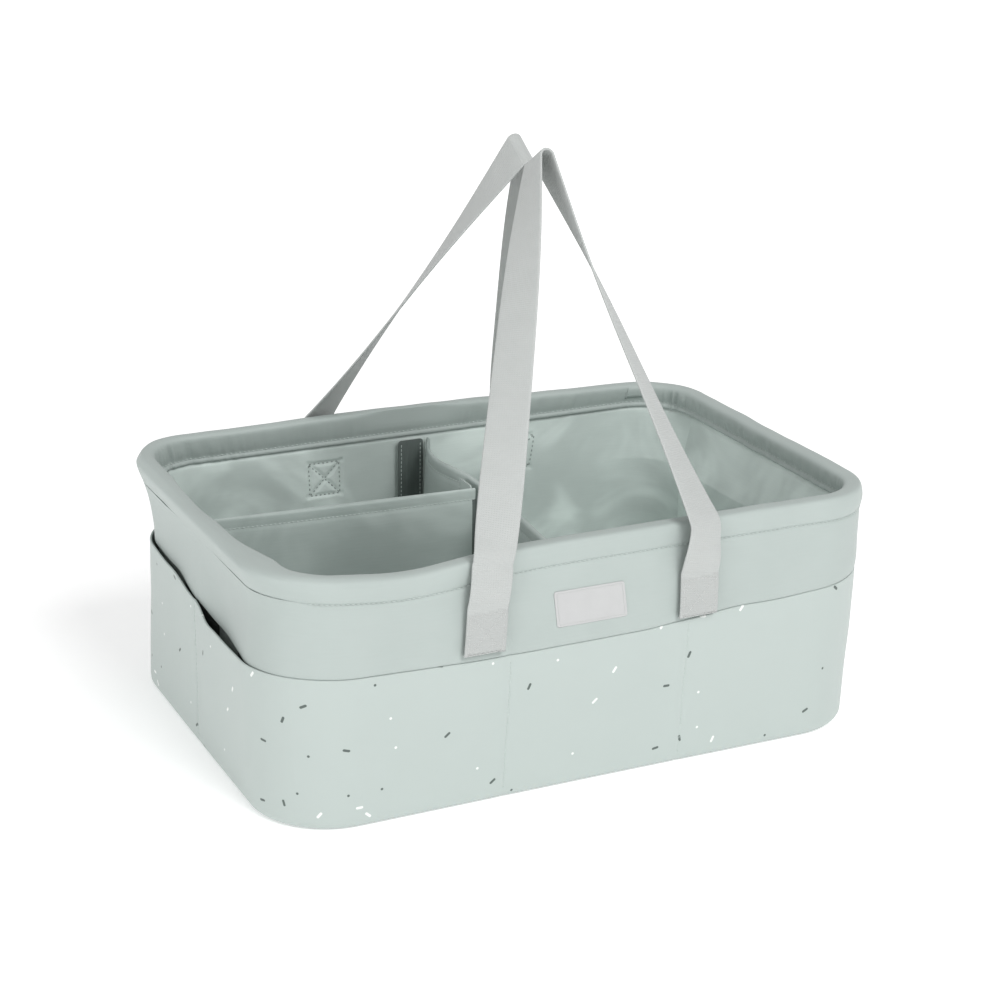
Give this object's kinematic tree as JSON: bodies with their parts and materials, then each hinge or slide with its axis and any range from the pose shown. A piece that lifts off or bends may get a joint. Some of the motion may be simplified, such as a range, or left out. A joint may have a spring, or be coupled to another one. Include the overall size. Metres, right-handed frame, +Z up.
{
  "type": "diaper caddy",
  "caption": "Soft padded caddy: rounded rectangular fabric tub with outside pockets, webbing carry handles that meet over the middle, and lift-out dividers on hook-and-loop flaps.",
  "frame": {"origin": "middle of the underside, on the surface that the caddy stands on", "axes": "+X along the caddy's length towards its right end, +Y from the labelled front to the back, +Z up"},
  "size_m": [0.4006, 0.275, 0.3515],
  "materials": {
    "outer_fabric": "pale sage satin polyester",
    "pocket_fabric": "pale mint satin polyester with a fine scattered print",
    "lining_fabric": "sage satin lining",
    "webbing": "light grey woven webbing",
    "label_fabric": "bare off-white woven label",
    "foam": "white padding",
    "board": "grey stiffener board",
    "tape": "sage hook-and-loop tape"
  },
  "bodies": {
    "tub": {"base_cover": "pocket_fabric", "base_board": "board", "base_lining": "lining_fabric", "outer_wall": "outer_fabric", "wall_foam": "foam", "lining_wall": "lining_fabric", "rim_hem": "outer_fabric", "rim_cord": "foam", "rim_join_tab": "outer_fabric", "pocket_front": "pocket_fabric", "pocket_back": "pocket_fabric", "pocket_left": "pocket_fabric", "pocket_right": "pocket_fabric", "label_patch": "label_fabric", "handle_end_front_left": "webbing", "handle_end_front_right": "webbing", "handle_end_back_left": "webbing", "handle_end_back_right": "webbing", "loop_tape_back": "tape", "loop_tape_front": "tape", "loop_tape_left": "tape"},
    "front_handle": {"handle_front_strap": "webbing"},
    "back_handle": {"handle_back_strap": "webbing"},
    "cross_divider": {"cross_divider_sleeve": "lining_fabric", "cross_divider_core": "board", "loop_tape_cross": "tape"},
    "cross_back_flap": {"cross_flap_back": "lining_fabric", "hook_tape_cross_back": "tape"},
    "cross_front_flap": {"cross_flap_front": "lining_fabric", "hook_tape_cross_front": "tape"},
    "long_divider": {"long_divider_sleeve": "lining_fabric", "long_divider_core": "board"},
    "long_left_flap": {"long_flap_left": "lining_fabric", "hook_tape_long_left": "tape"},
    "long_right_flap": {"long_flap_right": "lining_fabric", "hook_tape_long_right": "tape"}
  },
  "joints": [
    {"name": "front_handle_swing", "type": "hinge", "parent": "tub", "child": "front_handle", "pos_m": [0, -0.1326, 0.1213], "axis": [1, 0, 0], "range_deg": [0, 140]},
    {"name": "back_handle_swing", "type": "hinge", "parent": "tub", "child": "back_handle", "pos_m": [0, 0.1326, 0.1213], "axis": [-1, 0, 0], "range_deg": [0, 140]},
    {"name": "cross_divider_lift", "type": "slide", "parent": "tub", "child": "cross_divider", "axis": [0, 0, 1], "range_m": [0, 0.147]},
    {"name": "long_divider_lift", "type": "slide", "parent": "tub", "child": "long_divider", "axis": [0, 0, 1], "range_m": [0, 0.147]},
    {"name": "cross_back_flap_peel", "type": "hinge", "parent": "cross_divider", "child": "cross_back_flap", "pos_m": [0.0044, 0.1183, 0.07], "axis": [0, 0, 1], "range_deg": [0, 60]},
    {"name": "cross_front_flap_peel", "type": "hinge", "parent": "cross_divider", "child": "cross_front_flap", "pos_m": [-0.0044, -0.1183, 0.07], "axis": [0, 0, 1], "range_deg": [0, 60]},
    {"name": "long_left_flap_peel", "type": "hinge", "parent": "long_divider", "child": "long_left_flap", "pos_m": [-0.1778, 0.0234, 0.07], "axis": [0, 0, 1], "range_deg": [0, 60]},
    {"name": "long_right_flap_peel", "type": "hinge", "parent": "long_divider", "child": "long_right_flap", "pos_m": [-0.0072, 0.0206, 0.07], "axis": [0, 0, 1], "range_deg": [0, 60]}
  ]
}
